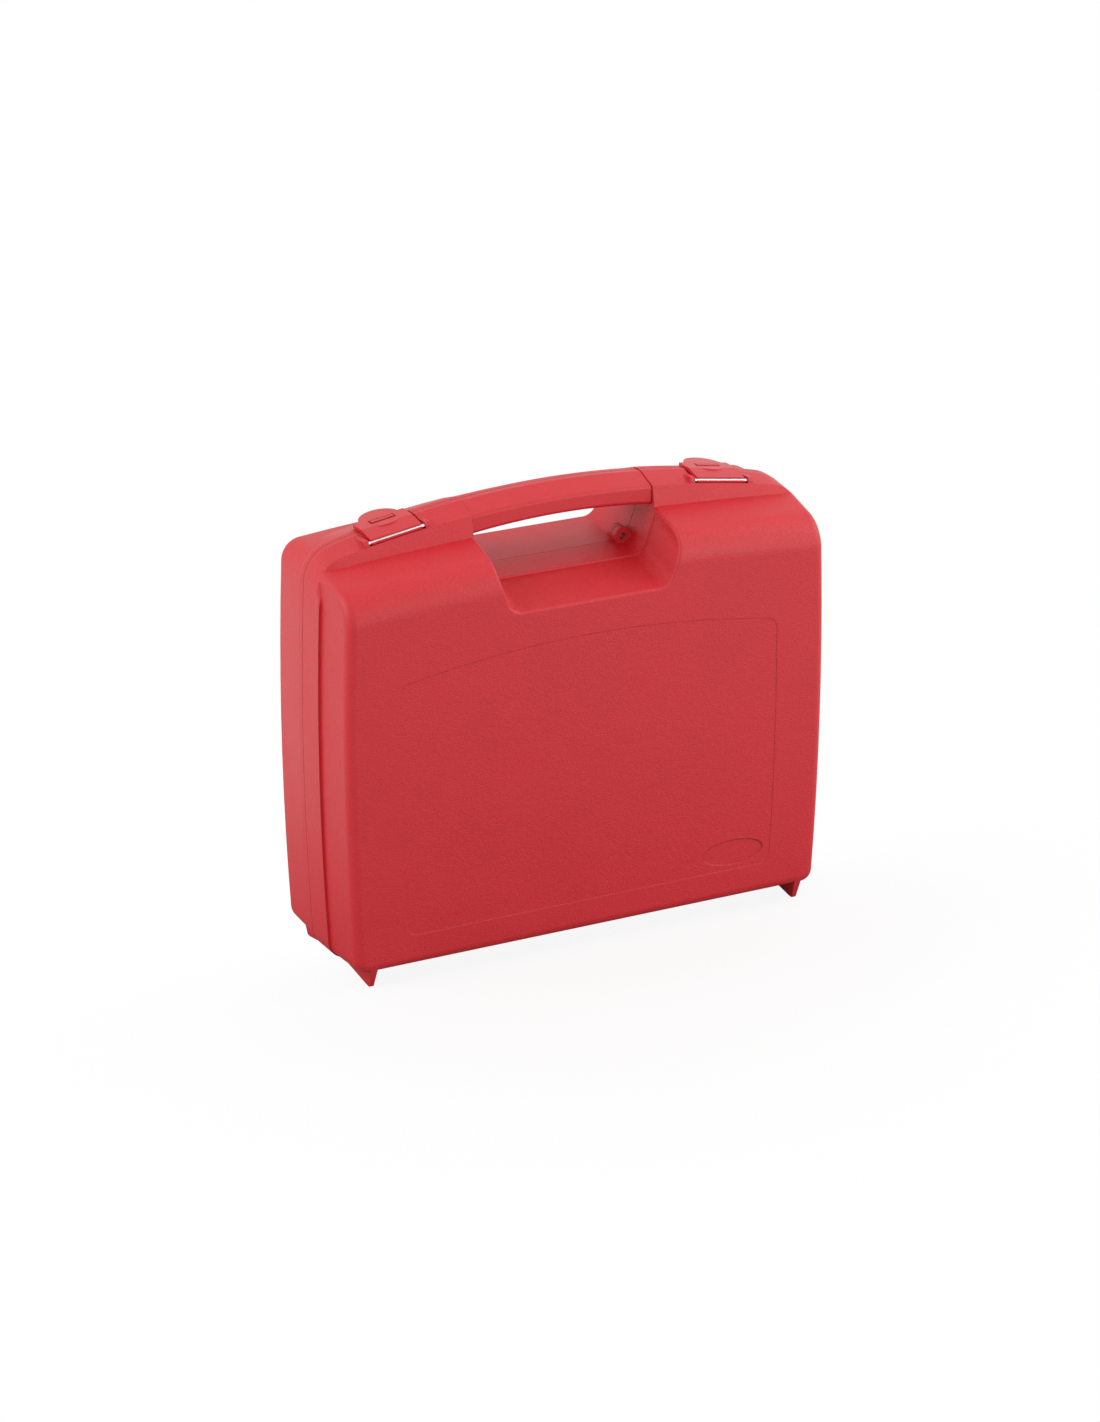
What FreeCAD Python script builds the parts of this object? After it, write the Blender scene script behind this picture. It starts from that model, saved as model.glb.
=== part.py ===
"""Plastic carrying case: two hinged half shells, a split grip and two latches on steel pins.

X runs across the width, Y from the front face to the back, Z up. The case stands on its feet at Z = 0.
"""
import FreeCAD, Part
import math
import os
from types import SimpleNamespace

import Sketcher

DOC = FreeCAD.newDocument("carrying_case")
VECTOR = FreeCAD.Vector

SIZES = {
    # whole case
    "case_width": 277.0,
    "case_depth": 83.0,
    "case_height": 238.2,
    "side_bow": 1750.0,
    "bow_height": 125.0,
    "parting_set": 6.2,
    "parting_gap": 0.3,
    "wall": 2.5,
    "overrun": 4.0,
    # rim round the parting plane
    "rim_ground_gap": 7.2,
    "front_rim_depth": 18.5,
    "back_rim_depth": 5.0,
    "flat_top_half": 3.3,
    "facet_depth": 16.0,
    "facet_drop": 5.0,
    "rim_foot_drop": 20.2,
    "top_arch": 500.0,
    "facet_arch": 600.0,
    "rim_top_corner": 19.0,
    "facet_corner": 17.0,
    "rim_bottom_corner": 10.0,
    # front body
    "side_step": 1.2,
    "bottom_step": 0.6,
    "front_draft": 1.1,
    "body_drop": 17.0,
    "body_arch": 1320.0,
    "shoulder_fall": 7.3,
    "shoulder_radius": 18.0,
    "edge_round": 5.0,
    "body_corner": 8.0,
    # back body
    "back_side_step": 0.7,
    "back_bottom_step": 1.0,
    "back_draft": 1.8,
    "back_body_drop": 13.5,
    "back_rim_fall": 0.7,
    "back_corner": 10.0,
    "back_top_corner": 13.0,
    "back_round": 5.0,
    "hump_inset": 7.5,
    # handle well
    "well_floor_half": 44.5,
    "well_mouth_half": 51.2,
    "well_flare_height": 19.0,
    "well_flare_round": 14.0,
    "well_corner": 8.0,
    "well_front_depth": 51.4,
    "well_rim_depth": 41.4,
    "well_parting_depth": 39.2,
    "well_back_depth": 36.8,
    "well_step": 0.7,
    "well_round": 1.5,
    # grip halves
    "grip_step": 0.4,
    "grip_gap": 0.15,
    "grip_under_drop": 14.2,
    "grip_under_arch": 400.0,
    "grip_wall": 2.4,
    "grip_round": 2.0,
    "tongue_drop": 12.0,
    "tongue_neck": 4.6,
    "tongue_head": 6.4,
    "tongue_head_thick": 2.0,
    "tongue_depth": 9.0,
    # latches
    "latch_set_in": 2.85,
    "latch_pin_set": 13.6,
    "latch_pin_rise": 0.8953,
    "latch_width": 28.0,
    "latch_end_gap": 1.75,
    "latch_pin_radius": 0.9,
    "latch_pin_fit": 0.05,
    "latch_barrel_radius": 1.75,
    "latch_barrel_gap": 0.3,
    "latch_knee": 9.5,
    "latch_reach": 19.5,
    "latch_rise": 3.85,
    "latch_thick": 2.1,
    "latch_seat_gap": 0.35,
    "latch_tab_radius": 10.8,
    "latch_tab_set": 17.8,
    "window_width": 14.0,
    "window_front": 12.9,
    "window_back": 17.4,
    "catch_gap": 0.8,
    "catch_back_gap": 1.1,
    "catch_proud": 0.3,
    "ear_width": 2.75,
    "ear_cover": 1.0,
    "ear_blind": 0.4,
    # hinges
    "hinge_inset": 63.5,
    "hinge_drop": 1.8,
    "hinge_barrel_radius": 2.8,
    "hinge_pin_radius": 1.5,
    "hinge_pin_fit": 0.05,
    "hinge_relief": 0.3,
    "knuckle_length": 10.0,
    "knuckle_gap": 0.4,
    "knuckle_web": 7.0,
    # feet
    "foot_inset": 15.5,
    "foot_root": 4.4,
    "foot_tip": 2.2,
    "foot_set": 4.4,
    "foot_flat": 3.0,
    "foot_length": 25.0,
    "foot_rise": 3.6,
    "foot_front_rise": 13.0,
    "foot_round": 1.0,
    # seal eyelet, name recess and front panel
    "eyelet_x": 40.7,
    "eyelet_drop": 36.2,
    "eyelet_radius": 4.75,
    "eyelet_hole_radius": 1.7,
    "eyelet_thick": 4.0,
    "oval_inset": 55.5,
    "oval_height": 35.2,
    "oval_width": 36.0,
    "oval_tall": 13.5,
    "oval_depth": 0.8,
    "panel_inset": 31.0,
    "panel_bottom": 25.5,
    "panel_drop": 68.0,
    "panel_arch": 580.0,
    "panel_corner": 6.0,
    "panel_depth": 0.15,
}


class Size:
    """A number together with the sheet expression that it comes from."""

    def __init__(self, value, text):
        self.value = float(value)
        self.text = text

    def __float__(self):
        return self.value

    def join(self, other, sign, value):
        text = other.text if isinstance(other, Size) else str(other)
        return Size(value, f"({self.text} {sign} {text})")

    def __add__(self, other):
        return self.join(other, "+", self.value + float(other))

    def __sub__(self, other):
        return self.join(other, "-", self.value - float(other))

    def __mul__(self, other):
        return self.join(other, "*", self.value * float(other))

    def __truediv__(self, other):
        return self.join(other, "/", self.value / float(other))

    def __neg__(self):
        return Size(-self.value, f"(-{self.text})")


def arch_fall(arch, x):
    """How far an arch lies below its crown at a distance x from the middle."""
    fall = float(arch) - math.sqrt(float(arch) ** 2 - float(x) ** 2)
    return Size(fall, f"({arch.text} - sqrt({arch.text}^2 - {x.text}^2))")


def make_sheet():
    """Put every driving size in the sheet and return them by name."""
    sheet = DOC.addObject("Spreadsheet::Sheet", "Sizes")
    for row, (name, value) in enumerate(SIZES.items(), start=1):
        sheet.set(f"A{row}", name)
        sheet.set(f"B{row}", str(value))
        sheet.setAlias(f"B{row}", name)
    DOC.recompute()
    return SimpleNamespace(**{name: Size(sheet.get(name), f"Sizes.{name}") for name in SIZES})


S = make_sheet()
NONE = S.wall * 0

# main planes and heights
HALF_WIDTH = S.case_width / 2
FRONT_Y = -S.case_depth / 2
BACK_Y = S.case_depth / 2
PARTING_Y = S.parting_set
HALF_GAP = S.parting_gap / 2
RIM_FRONT_Y = PARTING_Y - S.front_rim_depth
RIM_BACK_Y = PARTING_Y + S.back_rim_depth
FACET_CROWN = S.case_height - S.facet_drop
BODY_CROWN = S.case_height - S.body_drop
PIN_Y = PARTING_Y - S.latch_pin_set
HINGE_Z = S.rim_ground_gap - S.hinge_drop
HINGE_X = HALF_WIDTH - S.hinge_inset
FOOT_X = HALF_WIDTH - S.foot_inset
OVAL_X = HALF_WIDTH - S.oval_inset
LATCH_X = (HALF_WIDTH + S.well_mouth_half) / 2 - S.latch_set_in
PIN_Z = FACET_CROWN - arch_fall(S.facet_arch, LATCH_X) + S.latch_pin_rise

# room and heights under the latches
BED_HALF = S.latch_width / 2 + S.latch_end_gap
BED_FLOOR = S.latch_rise - S.latch_thick - S.latch_seat_gap
EAR_TOP = S.latch_pin_radius + S.ear_cover
LIP_SHARE = 0.3

# sides of the case, and the places of a hinge's knuckles
SIDES = ((-1, "left"), (1, "right"))
OUTER_KNUCKLES = (-1, 1)
MIDDLE_KNUCKLE = 0
KNUCKLE_DIP_SHARE = 0.95


# sketches

def new_body(name):
    return DOC.addObject("PartDesign::Body", name)


def new_sketch(body, name, role, offset):
    """Sketch on one of the body's own origin planes, shifted along the plane's normal."""
    sketch = body.newObject("Sketcher::SketchObject", name)
    plane = next(item for item in body.Origin.OriginFeatures if item.Role == role)
    sketch.AttachmentSupport = [(plane, "")]
    sketch.MapMode = "FlatFace"
    sketch.setExpression("AttachmentOffset.Base.z", offset.text)
    return sketch


def datum(sketch, kind, where, size):
    """Add a dimension that follows its sheet expression."""
    index = sketch.addConstraint(Sketcher.Constraint(kind, *where, float(size)))
    sketch.renameConstraint(index, f"size{index}")
    sketch.setExpression(f"Constraints.size{index}", size.text)


def link(sketch, kind, *where):
    sketch.addConstraint(Sketcher.Constraint(kind, *where))


def locate(sketch, item, end, x, y):
    """Hold one point of the sketch at x, y from its origin."""
    for kind, value, axis in (("DistanceX", x, -2), ("DistanceY", y, -1)):
        if float(value) == 0:
            link(sketch, "PointOnObject", item, end, axis)
        else:
            datum(sketch, kind, (-1, 1, item, end), value)


def arc(centre, radius, start, stop):
    circle = Part.Circle(centre, VECTOR(0, 0, 1), radius)
    return Part.ArcOfCircle(circle, start, stop)


def heading(point, centre):
    return math.atan2(point.y - centre.y, point.x - centre.x)


def draw_outline(sketch, corners):
    """Closed outline through corners (x, y) or, where the corner is rounded, (x, y, radius)."""
    points = [VECTOR(float(corner[0]), float(corner[1]), 0) for corner in corners]
    count = len(points)
    rounds = []
    for i, corner in enumerate(corners):
        before = (points[i - 1] - points[i]).normalize()
        after = (points[(i + 1) % count] - points[i]).normalize()
        half = before.getAngle(after) / 2
        radius = float(corner[2]) if len(corner) > 2 else 0
        reach = radius / math.tan(half)
        centre = points[i] + (before + after).normalize() * (radius / math.sin(half)) if radius else None
        left_turn = before.cross(after).z < 0
        rounds.append((points[i] + before * reach, points[i] + after * reach, centre, left_turn))
    for i in range(count):
        sketch.addGeometry(Part.LineSegment(rounds[i][1], rounds[(i + 1) % count][0]), False)
    for i, corner in enumerate(corners):
        last = (i - 1) % count
        enter, leave, centre, left_turn = rounds[i]
        if centre is None:
            link(sketch, "Coincident", last, 2, i, 1)
            locate(sketch, i, 1, corner[0], corner[1])
            continue
        angles = (heading(enter, centre), heading(leave, centre))
        start, stop = angles if left_turn else angles[::-1]
        bend = sketch.addGeometry(arc(centre, float(corner[2]), start, stop), False)
        ends = (1, 2) if left_turn else (2, 1)
        link(sketch, "Tangent", last, 2, bend, ends[0])
        link(sketch, "Tangent", bend, ends[1], i, 1)
        datum(sketch, "Radius", (bend,), corner[2])
        apex = sketch.addGeometry(Part.Point(points[i]), True)
        locate(sketch, apex, 1, corner[0], corner[1])
        link(sketch, "PointOnObject", apex, 1, last)
        link(sketch, "PointOnObject", apex, 1, i)


def meeting_point(first, first_radius, second, second_radius):
    """Upper point at the given distances from two centres."""
    apart = second - first
    along = (first_radius ** 2 - second_radius ** 2 + apart.Length ** 2) / (2 * apart.Length)
    unit = apart.normalize()
    across = VECTOR(-unit.y, unit.x, 0) * math.sqrt(first_radius ** 2 - along ** 2)
    return max(first + unit * along + across, first + unit * along - across, key=lambda point: point.y)


def draw_ring(sketch, half, bottom, crown, arch, top_corner, bottom_corner, bow):
    """Outline with bowed sides, a flat bottom and an arched top, all corners rounded."""
    side, floor, top, bend = float(half), float(bottom), float(top_corner), float(bottom_corner)
    hub = VECTOR(0, float(crown - arch), 0)
    right_hub = VECTOR(float(half - bow), float(S.bow_height), 0)
    left_hub = VECTOR(-right_hub.x, right_hub.y, 0)
    right = meeting_point(hub, float(arch) - top, right_hub, float(bow) - top)
    rise = floor + bend - right_hub.y
    low_right = VECTOR(right_hub.x + math.sqrt((float(bow) - bend) ** 2 - rise ** 2), floor + bend, 0)
    left, low_left = VECTOR(-right.x, right.y, 0), VECTOR(-low_right.x, low_right.y, 0)
    lean, upper, lower = heading(right, hub), heading(right, right_hub), heading(low_right, right_hub)
    quarter, turn = math.pi / 2, math.pi
    for curve in (
        Part.LineSegment(VECTOR(low_left.x, floor, 0), VECTOR(low_right.x, floor, 0)),
        arc(low_right, bend, -quarter, lower),
        arc(right_hub, float(bow), lower, upper),
        arc(right, top, upper, lean),
        arc(hub, float(arch), lean, turn - lean),
        arc(left, top, turn - lean, turn - upper),
        arc(left_hub, float(bow), turn - upper, turn - lower),
        arc(low_left, bend, turn - lower, turn + quarter),
    ):
        sketch.addGeometry(curve, False)
    radii = (bottom_corner, bow, top_corner, arch, top_corner, bow, bottom_corner)
    link(sketch, "Horizontal", 0)
    for i, size in enumerate(radii, start=1):
        link(sketch, "Tangent", i - 1, 2, i, 1)
        datum(sketch, "Radius", (i,), size)
    link(sketch, "Tangent", len(radii), 2, 0, 1)
    locate(sketch, 4, 3, 0, crown - arch)
    locate(sketch, 2, 3, half - bow, S.bow_height)
    locate(sketch, 6, 3, bow - half, S.bow_height)
    datum(sketch, "DistanceY", (-1, 1, 0, 1), bottom)


def draw_strip(sketch, half, crown, arch, under_crown, under_arch):
    """Arched strip with square ends: the grip seen from the front."""
    side = float(half)
    radii = (float(arch), float(under_arch))
    hubs = [VECTOR(0, float(top) - radius, 0) for top, radius in zip((crown, under_crown), radii)]
    leans = [math.acos(side / radius) for radius in radii]
    tops = [hub.y + radius * math.sin(lean) for hub, radius, lean in zip(hubs, radii, leans)]
    sketch.addGeometry(Part.LineSegment(VECTOR(side, tops[1], 0), VECTOR(side, tops[0], 0)), False)
    sketch.addGeometry(arc(hubs[0], float(arch), leans[0], math.pi - leans[0]), False)
    sketch.addGeometry(Part.LineSegment(VECTOR(-side, tops[0], 0), VECTOR(-side, tops[1], 0)), False)
    sketch.addGeometry(arc(hubs[1], float(under_arch), leans[1], math.pi - leans[1]), False)
    for pair in ((0, 2, 1, 1), (1, 2, 2, 1), (2, 2, 3, 2), (3, 1, 0, 1)):
        link(sketch, "Coincident", *pair)
    link(sketch, "Vertical", 0)
    link(sketch, "Vertical", 2)
    datum(sketch, "DistanceX", (-1, 1, 0, 1), half)
    datum(sketch, "DistanceX", (-1, 1, 2, 1), -half)
    datum(sketch, "Radius", (1,), arch)
    datum(sketch, "Radius", (3,), under_arch)
    locate(sketch, 1, 3, 0, crown - arch)
    locate(sketch, 3, 3, 0, under_crown - under_arch)


def draw_circle(sketch, x, y, radius):
    centre = VECTOR(float(x), float(y), 0)
    sketch.addGeometry(Part.Circle(centre, VECTOR(0, 0, 1), float(radius)), False)
    locate(sketch, 0, 3, x, y)
    datum(sketch, "Radius", (0,), radius)


# features

def cross_section(body, name, y, draw, *sizes):
    """Sketch across the case (X and Z) at depth y."""
    sketch = new_sketch(body, name, "XZ_Plane", -y)
    draw(sketch, *sizes)
    return sketch


def loft(body, name, kind, sections):
    feature = body.newObject(f"PartDesign::{kind}Loft", name)
    feature.Profile = sections[0]
    feature.Sections = sections[1:]
    feature.Ruled = True
    DOC.recompute()
    return feature


def bar(name, start, length, draw, *sizes):
    """Profile in Y and Z, extruded along X from start."""
    body = new_body(name)
    sketch = new_sketch(body, name + "_profile", "YZ_Plane", start)
    draw(sketch, *sizes)
    pad = body.newObject("PartDesign::Pad", name + "_pad")
    pad.Profile = sketch
    pad.setExpression("Length", length.text)
    return body


def post(name, back, length, draw, *sizes):
    """Profile in X and Z, extruded from depth back towards the front."""
    body = new_body(name)
    pad = body.newObject("PartDesign::Pad", name + "_pad")
    pad.Profile = cross_section(body, name + "_profile", back, draw, *sizes)
    pad.setExpression("Length", length.text)
    return body


def slab(name, base, height, draw, *sizes):
    """Profile in X and Y, extruded upwards from base."""
    body = new_body(name)
    sketch = new_sketch(body, name + "_profile", "XY_Plane", base)
    draw(sketch, *sizes)
    pad = body.newObject("PartDesign::Pad", name + "_pad")
    pad.Profile = sketch
    pad.setExpression("Length", height.text)
    return body


def box_corners(x0, x1, y0, y1):
    return [(x0, y0), (x1, y0), (x1, y1), (x0, y1)]


def edge_at(shape, x, y, z):
    """Name of the edge nearest to a point."""
    probe = Part.Vertex(float(x), float(y), float(z))
    gaps = [edge.distToShape(probe)[0] for edge in shape.Edges]
    return f"Edge{gaps.index(min(gaps)) + 1}"


def round_edges(body, name, radius, points):
    """Fillet the edges that pass the given points, with the edges that run on from them."""
    DOC.recompute()
    base = body.Tip
    fillet = body.newObject("PartDesign::Fillet", name)
    fillet.Base = (base, [edge_at(base.Shape, *point) for point in points])
    fillet.setExpression("Radius", radius.text)
    DOC.recompute()
    return fillet


def fuse(name, shapes):
    joined = DOC.addObject("Part::MultiFuse", name)
    joined.Shapes = shapes
    return joined


def cut(name, base, tools):
    result = DOC.addObject("Part::Cut", name)
    result.Base = base
    result.Tool = tools[0] if len(tools) == 1 else fuse(name + "_tools", tools)
    return result


def common(name, first, second):
    result = DOC.addObject("Part::MultiCommon", name)
    result.Shapes = [first, second]
    return result


def at_latch(item, side):
    """Move a latch piece from the pin's own frame to its seat on the arch: side is -1 or 1."""
    item.Placement = FreeCAD.Placement(VECTOR(0, 0, 0), FreeCAD.Rotation(VECTOR(0, side, 0), 1))
    item.setExpression("Placement.Rotation.Angle", f"asin({(LATCH_X / S.facet_arch).text})")
    for axis, size in (("x", LATCH_X * side), ("y", PIN_Y), ("z", PIN_Z)):
        item.setExpression(f"Placement.Base.{axis}", size.text)
    return item


# shell forms: inset is zero for the outside and the wall for the cavity

def rim_sections(body, name, inset, side_inset, bottom, stations):
    """Rings across the case: each station gives depth, crown, arch and top corner."""
    return [
        cross_section(body, f"{name}_{i}", y, draw_ring, HALF_WIDTH - side_inset - inset, bottom + inset,
                      crown - inset, arch - inset, corner - inset, S.rim_bottom_corner - inset,
                      S.side_bow - inset)
        for i, (y, crown, arch, corner) in enumerate(stations)
    ]


def rim_stations(way, inset, mouth):
    """The rim's depths on one side of the parting plane: way is -1 for the front and 1 for the back."""
    return [
        (mouth, S.case_height, S.top_arch, S.rim_top_corner),
        (PARTING_Y + S.flat_top_half * way, S.case_height, S.top_arch, S.rim_top_corner),
        (PARTING_Y + (S.facet_depth - inset) * way, FACET_CROWN, S.facet_arch, S.facet_corner),
        (PARTING_Y + (S.front_rim_depth - inset) * way, S.case_height - S.rim_foot_drop, S.body_arch,
         S.facet_corner),
    ]


def well_sections(body, name, grow, stations):
    """Handle well: a flared trough along Y. Each station gives depth y, floor below the crown and step."""
    sections = []
    for i, (y, depth, step) in enumerate(stations):
        floor = S.case_height - depth - grow
        half = S.well_floor_half - step + grow
        mouth = S.well_mouth_half + grow
        lip = floor + S.well_flare_height
        top = S.case_height + S.overrun
        corner = S.well_corner + grow
        bend = S.well_flare_round - grow
        sections.append(cross_section(body, f"{name}_{i}", y, draw_outline, [
            (-half, floor, corner), (half, floor, corner), (mouth, lip, bend), (mouth, top), (-mouth, top),
            (-mouth, lip, bend),
        ]))
    return sections


def well_form(name, grow, stations):
    """The well as a solid of its own, larger by grow."""
    body = new_body(name)
    loft(body, name + "_trough", "Additive", well_sections(body, name, grow, stations))
    return body


def front_form(name, inset, mouth):
    """Front half: a drafted block with a rounded shoulder, and the deep rim behind it."""
    body = new_body(name)
    block_back = PARTING_Y - S.facet_depth + S.wall / 2
    face = FRONT_Y + inset
    floor = S.rim_ground_gap + S.bottom_step + inset
    corner = S.body_corner - inset
    block = body.newObject("PartDesign::Pad", name + "_block")
    block.Profile = cross_section(body, name + "_block_ring", block_back, draw_ring,
                                  HALF_WIDTH - S.side_step - inset, floor, BODY_CROWN + S.overrun * 3,
                                  S.body_arch, corner, corner, S.side_bow - inset)
    block.setExpression("Length", (block_back - face).text)
    block.setExpression("TaperAngle", f"-atan({(S.front_draft / (RIM_FRONT_Y - FRONT_Y)).text})")

    shoulder = new_sketch(body, name + "_shoulder_profile", "YZ_Plane", NONE)
    crown = BODY_CROWN - inset
    fall = S.shoulder_fall / (RIM_FRONT_Y - FRONT_Y)
    rear = block_back + S.overrun
    low = crown - S.shoulder_fall - S.shoulder_radius - S.overrun
    sky = S.case_height + S.overrun * 2
    draw_outline(shoulder, [
        (rear, crown + fall * (rear - RIM_FRONT_Y)),
        (face, crown + fall * (face - RIM_FRONT_Y), S.shoulder_radius - inset),
        (face, low),
        (face - S.overrun, low),
        (face - S.overrun, sky),
        (rear, sky),
    ])
    hub = crown - S.body_arch
    axis = shoulder.addGeometry(Part.LineSegment(VECTOR(0, float(hub), 0), VECTOR(1, float(hub), 0)), True)
    link(shoulder, "Horizontal", axis)
    locate(shoulder, axis, 1, 0, hub)
    groove = body.newObject("PartDesign::Groove", name + "_shoulder")
    groove.Profile = shoulder
    groove.ReferenceAxis = (shoulder, ["Axis0"])
    groove.setExpression("Angle", f"4 * asin({(HALF_WIDTH / S.body_arch).text})")
    groove.Midplane = True
    round_edges(body, name + "_round", S.edge_round - inset, [(0, face, floor + S.front_draft)])

    stations = rim_stations(-1, inset, mouth)
    loft(body, name + "_rim", "Additive",
         rim_sections(body, name + "_ring", inset, NONE, S.rim_ground_gap, stations))
    return body


def back_form(name, inset, mouth):
    """Back half: a drafted block with a narrow rim, and a hump that carries the handle and the catches."""
    body = new_body(name)
    start = PARTING_Y + S.wall / 2
    face = BACK_Y - inset
    floor = S.rim_ground_gap + S.back_bottom_step + inset
    crown = S.case_height - S.back_body_drop - inset
    corner = S.back_corner - inset
    block = body.newObject("PartDesign::Pad", name + "_block")
    block.Profile = cross_section(body, name + "_block_ring", start, draw_ring,
                                  HALF_WIDTH - S.back_side_step - inset, floor, crown, S.body_arch - inset,
                                  S.back_top_corner - inset, corner, S.side_bow - inset)
    block.Reversed = True
    block.setExpression("Length", (face - start).text)
    block.setExpression("TaperAngle", f"-atan({(S.back_draft / (BACK_Y - PARTING_Y)).text})")
    round_edges(body, name + "_round", S.back_round - inset, [(0, face, floor + S.back_draft)])

    stations = rim_stations(1, inset, mouth)
    edge = (RIM_BACK_Y - inset, S.case_height - S.back_rim_fall, S.top_arch, S.rim_top_corner)
    lip = [stations[0], edge] if float(inset) else stations[:2] + [edge]
    loft(body, name + "_rim", "Additive",
         rim_sections(body, name + "_ring", inset, NONE, S.rim_ground_gap, lip))
    loft(body, name + "_hump", "Additive",
         rim_sections(body, name + "_hump_ring", inset, S.hump_inset, S.case_height / 2, stations))
    return body


# pieces shared by both sides of the case

def grip_half(name):
    """Front half of the grip: an arched channel, open at the parting plane, with a tongue at each end."""
    body = new_body(name + "_channel")
    half = S.well_mouth_half - S.grip_gap
    mouth = PARTING_Y - HALF_GAP
    nose = PARTING_Y - S.facet_depth + S.grip_step
    crown = S.case_height - S.grip_step
    brow = FACET_CROWN - S.grip_step
    under = S.case_height - S.grip_under_drop
    stations = [
        (mouth, crown, S.top_arch),
        (PARTING_Y - S.flat_top_half, crown, S.top_arch),
        (nose, brow, S.facet_arch),
    ]
    loft(body, name + "_skin", "Additive", [
        cross_section(body, f"{name}_skin_{i}", y, draw_strip, half, top, arch, under, S.grip_under_arch)
        for i, (y, top, arch) in enumerate(stations)
    ])
    round_edges(body, name + "_round", S.grip_round, [(0, nose, under), (0, nose, brow)])
    thick = S.grip_wall
    stations = [(PARTING_Y + S.overrun, *stations[0][1:]), stations[1], (nose + thick, *stations[2][1:])]
    loft(body, name + "_hollow", "Subtractive", [
        cross_section(body, f"{name}_hollow_{i}", y, draw_strip, half - thick, top - thick, arch - thick,
                      under + thick, S.grip_under_arch + thick)
        for i, (y, top, arch) in enumerate(stations)
    ])
    pieces = [body]
    middle = S.case_height - S.tongue_drop
    neck, head = S.tongue_neck / 2, S.tongue_head / 2
    for side, label in SIDES:
        root = (half - thick / 2) * side
        shoulder = (S.well_mouth_half + S.wall + S.grip_gap) * side
        tip = shoulder + S.tongue_head_thick * side
        pieces.append(post(f"{name}_{label}_tongue", mouth, S.tongue_depth, draw_outline, [
            (root, middle - neck), (shoulder, middle - neck), (shoulder, middle - head), (tip, middle - head),
            (tip, middle + head), (shoulder, middle + head), (shoulder, middle + neck), (root, middle + neck),
        ]))
    return fuse(name, pieces)


def mirrored(name, source):
    """The same moulding, turned over the parting plane."""
    twin = DOC.addObject("Part::Mirroring", name)
    twin.Source = source
    twin.Normal = VECTOR(0, 1, 0)
    twin.setExpression("Base.y", PARTING_Y.text)
    return twin


def tongue_slots(name, way):
    """Slots in the rim's end walls that the grip's tongues drop into from the parting plane."""
    depth = S.tongue_depth + S.grip_gap
    back = PARTING_Y + S.overrun if way < 0 else PARTING_Y + HALF_GAP + depth
    neck = S.tongue_neck / 2 + S.grip_gap
    middle = S.case_height - S.tongue_drop
    length = depth + HALF_GAP + S.overrun
    start = S.well_mouth_half - S.grip_gap
    end = S.well_mouth_half + S.wall + S.grip_gap
    return [
        post(f"{name}_{label}_slot", back, length, draw_outline,
             box_corners(start * side, end * side, middle - neck, middle + neck))
        for side, label in SIDES
    ]


def foot(name, way, side):
    """Fin under the bottom edge: tapered across, and cut back from a flat tip along its length."""
    centre = FOOT_X * side
    face = FRONT_Y if way < 0 else BACK_Y
    tip = face - S.foot_set * way
    flat = tip - S.foot_flat * way
    end = tip - S.foot_length * way
    inside = S.foot_front_rise
    back = (end if way < 0 else face) + S.overrun
    fin = post(name + "_fin", back, S.foot_set + S.foot_length + S.overrun * 2, draw_outline, [
        (centre - S.foot_tip / 2, NONE), (centre + S.foot_tip / 2, NONE),
        (centre + S.foot_root / 2, inside), (centre - S.foot_root / 2, inside),
    ])
    wedge = bar(name + "_wedge", centre - S.foot_root, S.foot_root * 2, draw_outline, [
        (face, inside), (tip, NONE, S.foot_round), (flat, NONE), (end, S.foot_rise), (end, inside),
    ])
    return common(name, fin, wedge)


def knuckle_start(side, index):
    """Left end of one of a hinge's three knuckles: index is -1, 0 or 1."""
    pitch = S.knuckle_length + S.knuckle_gap
    return HINGE_X * side - S.knuckle_length / 2 + pitch * index


def knuckle(name, way, side, index):
    """Hinge knuckle with the web that carries it under one shell's rim."""
    start = knuckle_start(side, index)
    barrel = bar(name + "_barrel", start, S.knuckle_length, draw_circle,
                 PARTING_Y, HINGE_Z, S.hinge_barrel_radius)
    ridge = S.rim_ground_gap + S.wall / 2
    reach = PARTING_Y + S.knuckle_web * way
    seam = PARTING_Y + HALF_GAP * way
    web = bar(name + "_web", start, S.knuckle_length, draw_outline, [
        (seam, HINGE_Z - S.hinge_barrel_radius * KNUCKLE_DIP_SHARE), (seam, ridge), (reach, ridge),
        (reach, S.rim_ground_gap),
    ])
    return [barrel, web]


def knuckle_relief(name, side, index):
    """Room in the other shell's rim for a knuckle to turn."""
    start = knuckle_start(side, index) - S.knuckle_gap
    return bar(name, start, S.knuckle_length + S.knuckle_gap * 2, draw_circle,
               PARTING_Y, HINGE_Z, S.hinge_barrel_radius + S.hinge_relief)


def hinge_rod(name, side, radius, extra):
    """Rod on the hinge axis through all three knuckles, longer by extra at each end."""
    start = knuckle_start(side, -1) - extra
    length = S.knuckle_length * 3 + S.knuckle_gap * 2 + extra * 2
    return bar(name, start, length, draw_circle, PARTING_Y, HINGE_Z, radius)


def latch_rod(name, side, radius, half):
    """Rod on the latch's pin axis."""
    return at_latch(bar(name, -half, half * 2, draw_circle, NONE, NONE, radius), side)


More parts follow.
